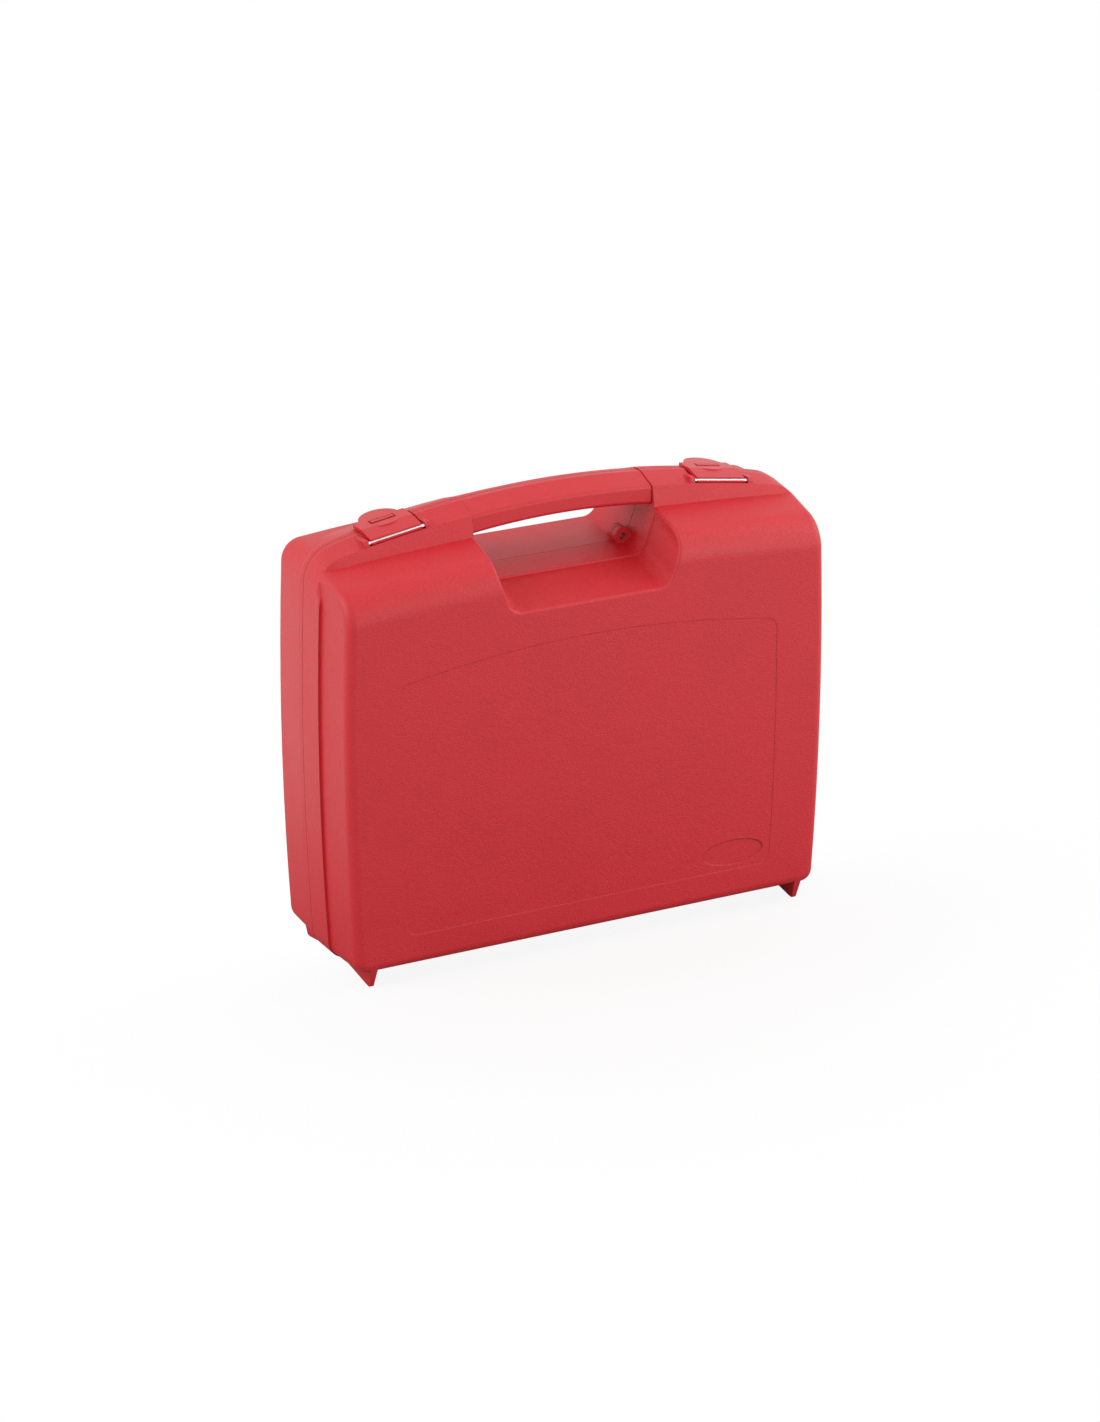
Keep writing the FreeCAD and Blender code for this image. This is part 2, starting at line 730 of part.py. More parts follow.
def latch(name, side):
    """Latch plate: an open barrel on the pin, a sloped plate with a window, and a half-moon thumb tab."""
    half = S.latch_width / 2
    under = S.latch_rise - S.latch_thick
    barrel = S.latch_barrel_radius
    bore = S.latch_pin_radius + S.latch_pin_fit
    plate = bar(name + "_plate", -half, S.latch_width, draw_outline, [
        (NONE, barrel), (bore, NONE), (S.latch_knee, under), (S.latch_reach, under),
        (S.latch_reach, S.latch_rise), (S.latch_knee, S.latch_rise),
    ])
    roll = bar(name + "_roll", -half, S.latch_width, draw_circle, NONE, NONE, barrel)
    tab = slab(name + "_tab", under, S.latch_thick, draw_circle, NONE, S.latch_tab_set, S.latch_tab_radius)
    window = slab(name + "_window", NONE, S.latch_rise + S.overrun, draw_outline, box_corners(
        -S.window_width / 2, S.window_width / 2, S.window_front, S.window_back))
    end = -half - S.overrun
    length = S.latch_width + S.overrun * 2
    hole = bar(name + "_bore", end, length, draw_circle, NONE, NONE, bore)
    lip = bar(name + "_lip", end, length, draw_outline, box_corners(
        -barrel - S.overrun, -bore * LIP_SHARE, bore * LIP_SHARE, barrel + S.overrun))
    for item in (plate, roll, tab, window, hole, lip):
        at_latch(item, side)
    return cut(name, fuse(name + "_solid", [plate, roll, tab]), [window, hole, lip])


def latch_bed(name, side):
    """What the rim loses under a latch: a groove for the barrel and a bed for the plate."""
    groove = latch_rod(name + "_groove", side, S.latch_barrel_radius + S.latch_barrel_gap, BED_HALF)
    heel = S.latch_pin_radius + S.latch_pin_fit
    far = S.latch_pin_set + S.front_rim_depth
    top = S.latch_rise + S.overrun
    flat = bar(name + "_flat", -BED_HALF, BED_HALF * 2, draw_outline, [
        (heel, -S.latch_seat_gap), (S.latch_knee, BED_FLOOR), (far, BED_FLOOR), (far, top), (heel, top),
    ])
    return [groove, at_latch(flat, side)]


def latch_ears(name, side):
    """Two ears on the front rim that hold the ends of a latch pin."""
    nose = -S.latch_barrel_radius - S.latch_barrel_gap
    tail = S.latch_knee
    ears = []
    for end, start in (("inner", BED_HALF), ("outer", -BED_HALF - S.ear_width)):
        ear = bar(f"{name}_{end}_ear", start, S.ear_width, draw_outline, [
            (nose, -EAR_TOP), (tail, NONE), (tail, BED_FLOOR), (S.latch_pin_radius, EAR_TOP),
            (-S.latch_pin_radius, EAR_TOP), (nose, NONE),
        ])
        ears.append(at_latch(ear, side))
    return ears


def catch(name, side):
    """Nub on the back rim that stands in the latch's window."""
    half = S.window_width / 2 - S.catch_gap
    front = S.latch_pin_set + HALF_GAP
    nub = bar(name, -half, half * 2, draw_outline, box_corners(
        front, S.window_back - S.catch_back_gap, NONE, S.latch_rise + S.catch_proud))
    return at_latch(nub, side)


def eyelet(name, way):
    """Half of the seal eyelet in the right-hand corner of the well."""
    back = PARTING_Y - HALF_GAP if way < 0 else PARTING_Y + HALF_GAP + S.eyelet_thick
    return post(name, back, S.eyelet_thick, draw_circle, S.eyelet_x, S.case_height - S.eyelet_drop,
                S.eyelet_radius)


def eyelet_hole(name):
    back = PARTING_Y + S.eyelet_thick + S.overrun
    return post(name, back, S.eyelet_thick * 2 + S.overrun * 2, draw_circle, S.eyelet_x,
                S.case_height - S.eyelet_drop, S.eyelet_hole_radius)


def panel_recess(name):
    """Very shallow panel in the front face, with an arched top."""
    return post(name, FRONT_Y + S.panel_depth, S.panel_depth + S.overrun, draw_ring,
                HALF_WIDTH - S.panel_inset, S.panel_bottom, S.case_height - S.panel_drop, S.panel_arch,
                S.panel_corner, S.panel_corner, S.side_bow)


def oval_recess(name):
    """Shallow bare oval in the front face."""
    ring = DOC.addObject("Part::Ellipse", name + "_ring")
    ring.Placement = FreeCAD.Placement(VECTOR(0, 0, 0), FreeCAD.Rotation(VECTOR(1, 0, 0), 90))
    ring.setExpression("MajorRadius", (S.oval_width / 2).text)
    ring.setExpression("MinorRadius", (S.oval_tall / 2).text)
    for axis, size in (("x", OVAL_X), ("y", FRONT_Y + S.oval_depth), ("z", S.oval_height)):
        ring.setExpression(f"Placement.Base.{axis}", size.text)
    recess = DOC.addObject("Part::Extrusion", name)
    recess.Base = ring
    recess.DirMode = "Normal"
    recess.Solid = True
    recess.setExpression("LengthFwd", (S.oval_depth + S.overrun).text)
    return recess


# front shell

outside = cut("front_outside", front_form("front_outer", NONE, PARTING_Y - HALF_GAP), [
    well_form("front_well", NONE, [
        (FRONT_Y - S.overrun, S.well_front_depth, NONE),
        (RIM_FRONT_Y, S.well_rim_depth + S.well_step, NONE)]),
    well_form("front_rim_well", NONE, [
        (RIM_FRONT_Y, S.well_rim_depth, S.well_step),
        (PARTING_Y, S.well_parting_depth, S.well_step)]),
])
softened = new_body("front_softened")
softened.BaseFeature = outside
round_edges(softened, "front_well_round", S.well_round, [(0, FRONT_Y, S.case_height - S.well_front_depth)])
hollow = cut("front_hollow", front_form("front_cavity", S.wall, PARTING_Y + S.overrun), [
    well_form("front_well_wall", S.wall, [
        (FRONT_Y - S.overrun, S.well_front_depth, NONE),
        (RIM_FRONT_Y, S.well_rim_depth + S.well_step, NONE),
        (PARTING_Y + S.overrun * 2, S.well_parting_depth, NONE)]),
])
walls = cut("front_walls", softened, [hollow])
losses = [panel_recess("panel_recess"), oval_recess("oval_recess")] + tongue_slots("front", -1)
gains = [walls, eyelet("front_eyelet", -1)]
holes = [eyelet_hole("front_eyelet_hole")]
for side, label in SIDES:
    losses += latch_bed(f"front_{label}_bed", side)
    losses.append(knuckle_relief(f"front_{label}_relief", side, MIDDLE_KNUCKLE))
    gains += latch_ears(f"{label}_latch", side)
    gains.append(foot(f"front_{label}_foot", -1, side))
    for index in OUTER_KNUCKLES:
        place = "inner" if index == -side else "outer"
        gains += knuckle(f"front_{label}_knuckle_{place}", -1, side, index)
    holes.append(latch_rod(f"{label}_ear_hole", side, S.latch_pin_radius + S.latch_pin_fit,
                           BED_HALF + S.ear_width - S.ear_blind))
    holes.append(hinge_rod(f"front_{label}_bore", side, S.hinge_pin_radius + S.hinge_pin_fit, S.overrun))
gains[0] = cut("front_trimmed", walls, losses)
front_shell = cut("front_shell", fuse("front_joined", gains), holes)

# back shell

outside = cut("back_outside", back_form("back_outer", NONE, PARTING_Y + HALF_GAP), [
    well_form("back_well", NONE, [
        (PARTING_Y, S.well_parting_depth, S.well_step),
        (BACK_Y + S.overrun, S.well_back_depth, S.well_step)]),
])
hollow = cut("back_hollow", back_form("back_cavity", S.wall, PARTING_Y - S.overrun), [
    well_form("back_well_wall", S.wall, [
        (PARTING_Y - S.overrun * 2, S.well_parting_depth, S.well_step),
        (BACK_Y + S.overrun, S.well_back_depth, S.well_step)]),
])
walls = cut("back_walls", outside, [hollow])
losses = tongue_slots("back", 1)
gains = [walls, eyelet("back_eyelet", 1)]
holes = [eyelet_hole("back_eyelet_hole")]
for side, label in SIDES:
    losses += latch_bed(f"back_{label}_bed", side)
    gains.append(catch(f"{label}_catch", side))
    gains.append(foot(f"back_{label}_foot", 1, side))
    for index in OUTER_KNUCKLES:
        place = "inner" if index == -side else "outer"
        losses.append(knuckle_relief(f"back_{label}_relief_{place}", side, index))
    gains += knuckle(f"back_{label}_knuckle", 1, side, MIDDLE_KNUCKLE)
    holes.append(hinge_rod(f"back_{label}_bore", side, S.hinge_pin_radius + S.hinge_pin_fit, S.overrun))
gains[0] = cut("back_trimmed", walls, losses)
back_shell = cut("back_shell", fuse("back_joined", gains), holes)

# grips, latches and pins

front_grip = grip_half("front_grip")
nodes = [front_shell, back_shell, front_grip, mirrored("back_grip", front_grip)]
for side, label in SIDES:
    nodes.append(latch(f"{label}_latch", side))
    nodes.append(latch_rod(f"{label}_latch_pin", side, S.latch_pin_radius,
                           BED_HALF + S.ear_width - S.ear_blind))
    nodes.append(hinge_rod(f"{label}_hinge_pin", side, S.hinge_pin_radius, NONE))

DOC.recompute()
faults = [item.Name for item in DOC.Objects if "Invalid" in item.State or "Error" in item.State]
for node in nodes:
    if node.Shape.isNull() or not node.Shape.isValid() or len(node.Shape.Solids) != 1:
        faults.append(node.Label)
if faults:
    raise SystemExit(f"faults: {faults}")
os.makedirs("parts", exist_ok=True)
for node in nodes:
    node.Shape.exportStep(f"parts/{node.Label}.step")
    print(node.Label, round(node.Shape.Volume), "cubic mm", len(node.Shape.Solids))
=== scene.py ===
# %% [markdown]
# # A red moulded carrying case in the studio
#
# The case is two half shells of moulded plastic, hinged at the foot, with a split grip, two flip
# latches and four wire pins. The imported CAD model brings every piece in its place. Here each piece
# gets the finish that it has on the real case, and the scene gets a studio: a camera, a pale floor
# and soft lamps.

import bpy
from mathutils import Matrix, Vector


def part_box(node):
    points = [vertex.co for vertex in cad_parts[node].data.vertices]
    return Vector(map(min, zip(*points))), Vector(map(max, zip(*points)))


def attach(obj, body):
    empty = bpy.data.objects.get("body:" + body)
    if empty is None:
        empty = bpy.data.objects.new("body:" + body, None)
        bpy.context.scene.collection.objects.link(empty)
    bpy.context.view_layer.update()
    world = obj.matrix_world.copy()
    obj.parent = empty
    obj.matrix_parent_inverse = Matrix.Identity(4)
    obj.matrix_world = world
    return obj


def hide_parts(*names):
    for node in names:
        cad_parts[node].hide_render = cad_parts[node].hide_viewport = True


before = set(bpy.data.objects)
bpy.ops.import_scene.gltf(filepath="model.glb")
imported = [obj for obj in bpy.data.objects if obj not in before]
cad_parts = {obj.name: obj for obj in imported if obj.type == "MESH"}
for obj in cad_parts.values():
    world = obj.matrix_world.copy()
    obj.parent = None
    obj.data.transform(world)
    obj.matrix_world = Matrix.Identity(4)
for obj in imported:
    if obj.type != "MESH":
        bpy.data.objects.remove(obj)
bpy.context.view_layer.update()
print("pieces:", sorted(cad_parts))

# %% [markdown]
# ## The camera
#
# The photograph was taken from the front left, a little above the case, with a long lens, so that
# upright edges stay almost parallel. The eye's place could be tried out by hand. It was worked out
# instead, by fitting the model's outline to that of the case in the photograph. The frame is 1100
# by 1422 pixels, and Blender measures the lens along its longer side.

# %% Camera at the photograph's angle
import math

import bpy
from mathutils import Vector

FRAME_HIGH = 1422
FOCAL_PIXELS = 4791.0
SENSOR = 36.0
FARTHEST = 50.0
EYE = Vector((-1.0610, -2.0312, 1.0018))
AZIMUTH = math.radians(-27.53)
ELEVATION = math.radians(21.17)

scene = bpy.context.scene
lens = bpy.data.cameras.new("case_camera")
lens.sensor_width = SENSOR
lens.lens = FOCAL_PIXELS / FRAME_HIGH * SENSOR
lens.clip_end = FARTHEST
camera = bpy.data.objects.new("case_camera", lens)
towards_eye = Vector((
    math.sin(AZIMUTH) * math.cos(ELEVATION),
    -math.cos(AZIMUTH) * math.cos(ELEVATION),
    math.sin(ELEVATION),
))
camera.location = EYE
camera.rotation_euler = (-towards_eye).to_track_quat("-Z", "Y").to_euler()
scene.collection.objects.link(camera)
scene.camera = camera
print("lens", round(lens.lens, 1), "mm at", round(EYE.length, 2), "m from the case's foot")

# %% [markdown]
# ## Shader sums as plain Python
#
# A finish is a sum of masks and noises. Nodes could be placed and linked one at a time, which takes
# five lines for a single product. This small class wraps a socket instead, so that `1 - mask * 0.3`
# writes its own Math nodes, and one method makes any other node from its type, its settings and its
# sockets.

# %% The socket class


class Socket:
    """One output of a material's node tree, with operators that add Math nodes."""

    def __init__(self, tree, output):
        self.tree = tree
        self.output = output

    def make(self, kind, settings, sockets, output=0):
        """A new node: its settings first, then a value or a link for each named socket."""
        node = self.tree.nodes.new("ShaderNode" + kind)
        for name, value in settings.items():
            setattr(node, name, value)
        for name, value in sockets.items():
            if isinstance(value, Socket):
                self.tree.links.new(value.output, node.inputs[name])
            else:
                node.inputs[name].default_value = value
        return Socket(self.tree, node.outputs[output])

    def sum(self, operation, first, second):
        """A Math node with two values, each a socket or a number."""
        return self.make("Math", {"operation": operation}, {0: first, 1: second})

    def __add__(self, other):
        return self.sum("ADD", self, other)

    def __radd__(self, other):
        return self.sum("ADD", other, self)

    def __sub__(self, other):
        return self.sum("SUBTRACT", self, other)

    def __rsub__(self, other):
        return self.sum("SUBTRACT", other, self)

    def __mul__(self, other):
        return self.sum("MULTIPLY", self, other)

    def __rmul__(self, other):
        return self.sum("MULTIPLY", other, self)

    def ramp(self, low, high, start=0.0, end=1.0):
        """A smooth step from start to end while this value goes from low to high."""
        sockets = {
            "Value": self, "From Min": low, "From Max": high, "To Min": start, "To Max": end}
        return self.make("MapRange", {"interpolation_type": "SMOOTHSTEP"}, sockets)

    def blend(self, first, second):
        """Mix of two colours, with this value as the share of the second. A Mix node has its factor
        in socket 0 and its colours in 6 and 7, and gives a colour from output 2."""
        return self.make("Mix", {"data_type": "RGBA"}, {0: self, 6: first, 7: second}, 2)


print("socket sums ready")

# %% [markdown]
# ### Beginning and ending a finish
#
# Every finish begins with an empty Principled surface and ends with links into it. Both could be
# written out in each finish. Two helpers do it once, so that a finish shows only its own sums.

# %% Helpers for a finish


def new_finish(name):
    """An empty material with a Principled surface: its tree's start, and the surface's node."""
    finish = bpy.data.materials.new(name)
    finish.use_nodes = True
    tree = finish.node_tree
    surface = tree.nodes["Principled BSDF"]
    return finish, Socket(tree, surface.outputs[0]), surface


def feed(start, surface, **sockets):
    """Links a finish's changing values to its surface."""
    for name, value in sockets.items():
        start.tree.links.new(value.output, surface.inputs[name.replace("_", " ")])


print("finish helpers ready")

# %% [markdown]
# ## The moulded red plastic
#
# The tool that moulds such a case is spark-eroded, and the plastic copies that fine grain: it breaks
# up the light, so that the faces look matte. A grain could be modelled, but its pits are a few tenths
# of a millimetre wide, so a bump does it better, and the colour carries painted shade in the pits.
# The colour is mixed through the plastic and only drifts a little over a hand's breadth. Edges that
# are handled and stood on wear a little paler and smoother, and a Bevel node finds them: near an edge
# its rounded normal leaves the true one.

# %% Red plastic finishes
RED = (0.605, 0.0155, 0.0240, 1.0)
DEEP_RED = (0.578, 0.0135, 0.0212, 1.0)
# The next red is painted shade, laid into the grain's pits where the bumps would shade them.
PAINTED_PIT_SHADE_RED = (0.490, 0.0100, 0.0156, 1.0)
RUBBED_RED = (0.620, 0.036, 0.046, 1.0)
PLASTIC_IOR = 1.49
NOISE_ROUGHNESS = 0.55
NOISE_MIDDLE = 0.5
SWELL_SIZE = 4
DRIFT_SCALE = 18.0
BLOTCH_SCALE = 95.0
PITS_IN_HEIGHT = 0.7
DRIFT_IN_COLOUR = 0.6
NOISE_SPAN = (0.35, 0.65)
COLOUR_SPAN = (0.38, 0.62)
PIT_SPAN = (0.36, 0.64)
PIT_SHADE = 0.55
EDGE_SPAN = (0.01, 0.16)
EDGE_SAMPLES = 6
LEAST_WEAR = 0.35
GLOSS_DRIFT = 0.03
PIT_GLOSS = 0.10
WORN_GLOSS = 0.06


def moulded_red(name, grain, depth, rough, edge, rub):
    """Red plastic. Bump: grain pits plus a coarser swell. Colour: red to deep red by a slow drift,
    with painted shade in the pits, then rubbed red along edges. Roughness: the given level, up and
    down with drift and pits, less where rubbed."""
    finish, start, surface = new_finish(name)
    place = start.make("TexCoord", {}, {}, "Object")

    def noise(scale, detail):
        return start.make("TexNoise", {}, {
            "Vector": place, "Scale": scale, "Detail": detail, "Roughness": NOISE_ROUGHNESS})

    pits = noise(grain, 2.0)
    swell = noise(grain / SWELL_SIZE, 1.0)
    drift = noise(DRIFT_SCALE, 2.0)
    blotch = noise(BLOTCH_SCALE, 3.0)
    height = pits * PITS_IN_HEIGHT + swell * (1 - PITS_IN_HEIGHT)

    rounded = start.make("Bevel", {"samples": EDGE_SAMPLES}, {"Radius": edge})
    true_normal = start.make("NewGeometry", {}, {}, "Normal")
    agree = start.make(
        "VectorMath", {"operation": "DOT_PRODUCT"}, {0: rounded, 1: true_normal}, "Value")
    worn = (1 - agree).ramp(*EDGE_SPAN) * blotch.ramp(*NOISE_SPAN, LEAST_WEAR, 1.0)

    tint = drift * DRIFT_IN_COLOUR + blotch * (1 - DRIFT_IN_COLOUR)
    body = tint.ramp(*COLOUR_SPAN).blend(DEEP_RED, RED)
    # Painted shade: the low places of the grain noise are darkened in the colour.
    pit_shaded = pits.ramp(*PIT_SPAN, PIT_SHADE, 0.0).blend(body, PAINTED_PIT_SHADE_RED)
    colour = (worn * rub).blend(pit_shaded, RUBBED_RED)
    level = drift.ramp(*NOISE_SPAN, rough - GLOSS_DRIFT, rough + GLOSS_DRIFT)
    gloss = level + (pits - NOISE_MIDDLE) * PIT_GLOSS - worn * WORN_GLOSS
    bump = start.make("Bump", {}, {
        "Strength": 1.0, "Distance": depth, "Height": height, "Normal": rounded})
    feed(start, surface, Base_Color=colour, Roughness=gloss, Normal=bump)
    surface.inputs["IOR"].default_value = PLASTIC_IOR
    return finish


shell_red = moulded_red(
    "shell_spark_grain_red", grain=1250.0, depth=0.00030, rough=0.46, edge=0.0006, rub=0.2)
grip_red = moulded_red(
    "grip_fine_grain_red", grain=1500.0, depth=0.00016, rough=0.44, edge=0.0006, rub=0.3)
latch_red = moulded_red(
    "latch_satin_red", grain=2000.0, depth=0.00008, rough=0.38, edge=0.0004, rub=0.4)
print("red finishes:", shell_red.name, grip_red.name, latch_red.name)

# %% [markdown]
# ## The bright wire pins
#
# The pins are cut from drawn wire. The die leaves fine lines along the wire, and handling leaves
# duller spots. The lines could be a picture; a noise that is stretched along the pin's length does
# the same at any zoom.

# %% Pin finish
WIRE = (0.80, 0.80, 0.81, 1.0)
DULL_WIRE = (0.62, 0.62, 0.64, 1.0)
LINE_SCALE = (60.0, 2400.0, 2400.0)
LINE_SPAN = (0.3, 0.7)
LINE_GLOSS = (0.22, 0.36)
LINE_BUMP = 0.5
LINE_DEPTH = 0.00004
SPOT_SCALE = 320.0
SPOT_SPAN = (0.52, 0.70)
SPOT_SHADE = 0.8
SPOT_GLOSS = 0.14


def drawn_wire(name):
    """Bright steel. Noise stretched 40 times along X gives die lines in bump and roughness; an even
    noise gives dull spots in colour and roughness."""
    finish, start, surface = new_finish(name)
    place = start.make("TexCoord", {}, {}, "Object")
    along = start.make("Mapping", {}, {"Vector": place, "Scale": LINE_SCALE})
    lines = start.make("TexNoise", {}, {"Vector": along, "Scale": 1.0, "Detail": 3.0})
    spots = start.make("TexNoise", {}, {"Vector": place, "Scale": SPOT_SCALE, "Detail": 3.0})
    dull = spots.ramp(*SPOT_SPAN)
    colour = (dull * SPOT_SHADE).blend(WIRE, DULL_WIRE)
    gloss = lines.ramp(*LINE_SPAN, *LINE_GLOSS) + dull * SPOT_GLOSS
    bump = start.make("Bump", {}, {
        "Strength": LINE_BUMP, "Distance": LINE_DEPTH, "Height": lines})
    feed(start, surface, Base_Color=colour, Roughness=gloss, Normal=bump)
    surface.inputs["Metallic"].default_value = 1.0
    return finish


pin_wire = drawn_wire("pin_drawn_wire")
print("wire finish:", pin_wire.name)

# %% [markdown]
# ## Finishes onto pieces
#
# Shells, grips and latches come from tools with different grain, and the pins from one coil of wire.
# Finishes could be set piece by piece. A table says it once, and what it doesn't list is a pin. Each
# CAD piece keeps its mesh and its place, and only the material in its slot changes.

# %% Dress the pieces
FINISH_OF = {
    "front_shell": shell_red, "back_shell": shell_red,
    "front_grip": grip_red, "back_grip": grip_red,
    "left_latch": latch_red, "right_latch": latch_red,
}
for name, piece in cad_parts.items():
    piece.data.materials.clear()
    piece.data.materials.append(FINISH_OF.get(name, pin_wire))
    print(name, "wears", piece.data.materials[0].name)

# %% [markdown]
# ## The oval recess in the front
#
# Low on the right of the front, an oval insert in the tool leaves a shallow bare recess. The packed
# shell has its oval on the inner side of the wall, so the outer side is made here. A boolean cut
# could do it, but it would disturb the normals of the whole moulding. Instead only the flat panel
# round the oval is laid anew, and every other face of the shell is copied as it is. First the shell
# is read into arrays.

# %% The front shell as arrays
import numpy as np


def shell_faces(piece):
    """Points, triangles and corner normals of a CAD piece, as arrays."""
    mesh = piece.data
    points = np.empty(len(mesh.vertices) * 3)
    corners = np.empty(len(mesh.loops), int)
    normals = np.empty(len(mesh.loops) * 3)
    mesh.vertices.foreach_get("co", points)
    mesh.loops.foreach_get("vertex_index", corners)
    mesh.corner_normals.foreach_get("vector", normals)
    return points.reshape(-1, 3), corners.reshape(-1, 3), normals.reshape(-1, 3, 3)


points, triangles, normals = shell_faces(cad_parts["front_shell"])
print("front shell:", len(points), "points,", len(triangles), "triangles")

# %% [markdown]
# ### The flat panel
#
# The front face has a large panel that lies a little deeper than the face round it, so that scuffs
# spare it. Its triangles could be listed by number, but those change with each packing. So they are
# found by what they are: flat, facing forward, and the first level behind the front face. Edges that
# only one of them has make the outline.

# %% Find the panel
SAME_PLACE = 1e-6
BEHIND_FRONT = 1e-5
FORWARD = -0.999


def panel_faces(places, normals, front):
    """Which triangles lie on the foremost flat level behind the front face, and that level's Y."""
    level = places[..., 1]
    flat = (np.ptp(level, axis=1) < SAME_PLACE) & (normals[..., 1].max(axis=1) < FORWARD)
    panel_y = level[flat & (level[:, 0] > front + BEHIND_FRONT), 0].min()
    return flat & (np.abs(level[:, 0] - panel_y) < SAME_PLACE), panel_y


def outline_of(places):
    """Edges, in X and Z, that only one of the triangles has: places is triangles by corners by X, Y
    and Z."""
    steps = np.round(places[:, :, [0, 2]] / SAME_PLACE).astype(int)
    known, index = np.unique(steps.reshape(-1, 2), axis=0, return_inverse=True)
    index = index.reshape(-1, 3)
    edges = np.concatenate([index[:, [0, 1]], index[:, [1, 2]], index[:, [2, 0]]])
    edges, uses = np.unique(np.sort(edges, axis=1), axis=0, return_counts=True)
    return known[edges[uses == 1]] * SAME_PLACE


places = points[triangles]
panel, panel_y = panel_faces(places, normals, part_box("front_shell")[0][1])
outline = outline_of(places[panel])
print("panel at Y", round(float(panel_y), 5), "with", int(panel.sum()), "triangles")
print("panel outline:", len(outline), "edges")

# %% [markdown]
# ### Spokes from the oval's middle
#
# The new panel is a web of rings and spokes with one middle, the oval's. The outline's distance along
# a spoke could be searched for step by step. A crossing of two lines has a formula, so all spokes are
# crossed with all edges of the outline at once, and the nearest crossing counts.

# %% Where a spoke meets the outline
OVAL_MIDDLE = np.array((0.0830, 0.0352))
EDGE_SLACK = 1e-4
ALMOST_NONE = 1e-15


def cross(a, b):
    """First part of a times second part of b, less second part of a times first part of b."""
    return a[..., 0] * b[..., 1] - a[..., 1] * b[..., 0]


def reach(edges, spokes):
    """Distance from the oval's middle to the outline along each spoke: the ray t*d meets the edge
    a + s*e where t = cross(a, e) / cross(d, e) and s = cross(a, d) / cross(d, e), with s from 0
    to 1."""
    ray = spokes[:, None]
    begin = (edges[:, 0] - OVAL_MIDDLE)[None]
    along = (edges[:, 1] - edges[:, 0])[None]
    turn = cross(ray, along)
    turn = np.where(np.abs(turn) < ALMOST_NONE, ALMOST_NONE, turn)
    out = cross(begin, along) / turn
    share = cross(begin, ray) / turn
    met = (share > -EDGE_SLACK) & (share < 1 + EDGE_SLACK) & (out > 0)
    return np.where(met, out, np.inf).min(axis=1)


to_right = reach(outline, np.array([[1.0, 0.0]]))
print("panel ends", round(float(to_right[0]), 4), "m to the right of the oval's middle")

# %% [markdown]
# ### Rings round the oval
#
# Three rings follow each other inwards: the outline, the oval's rim, and the edge of its floor. The
# spokes could be spread evenly, but then the panel would leave gaps at its corners. So they go
# through every corner of the outline, where the panel meets its neighbours, and evenly round the
# oval, so that its curve stays smooth.

# %% Rings from the outline to the oval's floor
OVAL_RADII = np.array((0.0180, 0.00675))
OVAL_DEPTH = 0.00055
OVAL_DRAFT = 0.00015
OVAL_POINTS = 120
ANGLE_DIGITS = 5


def oval_rings(edges, panel_y):
    """Rings by spokes by X, Y and Z: the outline, the oval's rim at the distance
    1 / sqrt((cos/width)^2 + (sin/tall)^2), and its floor's edge, which the draft draws in and the
    depth lowers."""
    turns = np.linspace(-np.pi, np.pi, OVAL_POINTS, endpoint=False)
    rim_angles = np.arctan2(OVAL_RADII[1] * np.sin(turns), OVAL_RADII[0] * np.cos(turns))
    ends = edges.reshape(-1, 2) - OVAL_MIDDLE
    end_angles = np.arctan2(ends[:, 1], ends[:, 0])
    angles = np.unique(np.round(np.concatenate([rim_angles, end_angles]), ANGLE_DIGITS))
    spokes = np.stack([np.cos(angles), np.sin(angles)], axis=-1)
    rim = 1 / np.linalg.norm(spokes / OVAL_RADII, axis=-1)
    far = np.stack([reach(edges, spokes), rim, rim - OVAL_DRAFT])
    place = OVAL_MIDDLE + far[..., None] * spokes
    depth = np.array((0.0, 0.0, OVAL_DEPTH))[:, None] + np.zeros_like(far)
    return np.stack([place[..., 0], panel_y + depth, place[..., 1]], axis=-1)


rings = oval_rings(outline, panel_y)
middle = np.array([[OVAL_MIDDLE[0], panel_y + OVAL_DEPTH, OVAL_MIDDLE[1]]])
print("rings and spokes:", rings.shape[:2])
print("outermost ring:", round(float(np.ptp(rings[0, :, 0])), 4), "m across")

# %% [markdown]
# ### Faces of the web
#
# Between two rings lie quads, and the oval's floor is a fan of triangles round the middle. The recess
# has a crisp edge in the tool, so its steep wall must not be shaded as one with the panel. Each quad
# gets its own normal for that, where a smooth one would blur the edge.

# %% Quads, fan and normals


def ring_faces(rows, columns, first):
    """Quads between neighbouring rings, and a fan of triangles from the last ring to the middle
    point."""
    grid = first + np.arange(rows * columns).reshape(rows, columns)
    turned = np.roll(grid, -1, axis=1)
    quads = np.stack([grid[:-1], turned[:-1], turned[1:], grid[1:]], axis=-1).reshape(-1, 4)
    tip = np.full(columns, first + rows * columns)
    return quads, np.stack([grid[-1], turned[-1], tip], axis=-1)


def quad_normals(corners):
    """Unit normals of quads: the cross product of their diagonals."""
    upright = np.cross(corners[:, 2] - corners[:, 0], corners[:, 3] - corners[:, 1])
    return upright / np.linalg.norm(upright, axis=1)[:, None]


used, kept = np.unique(triangles[~panel], return_inverse=True)
quads, fan = ring_faces(*rings.shape[:2], len(used))
print("web:", len(quads), "quads and", len(fan), "triangles")
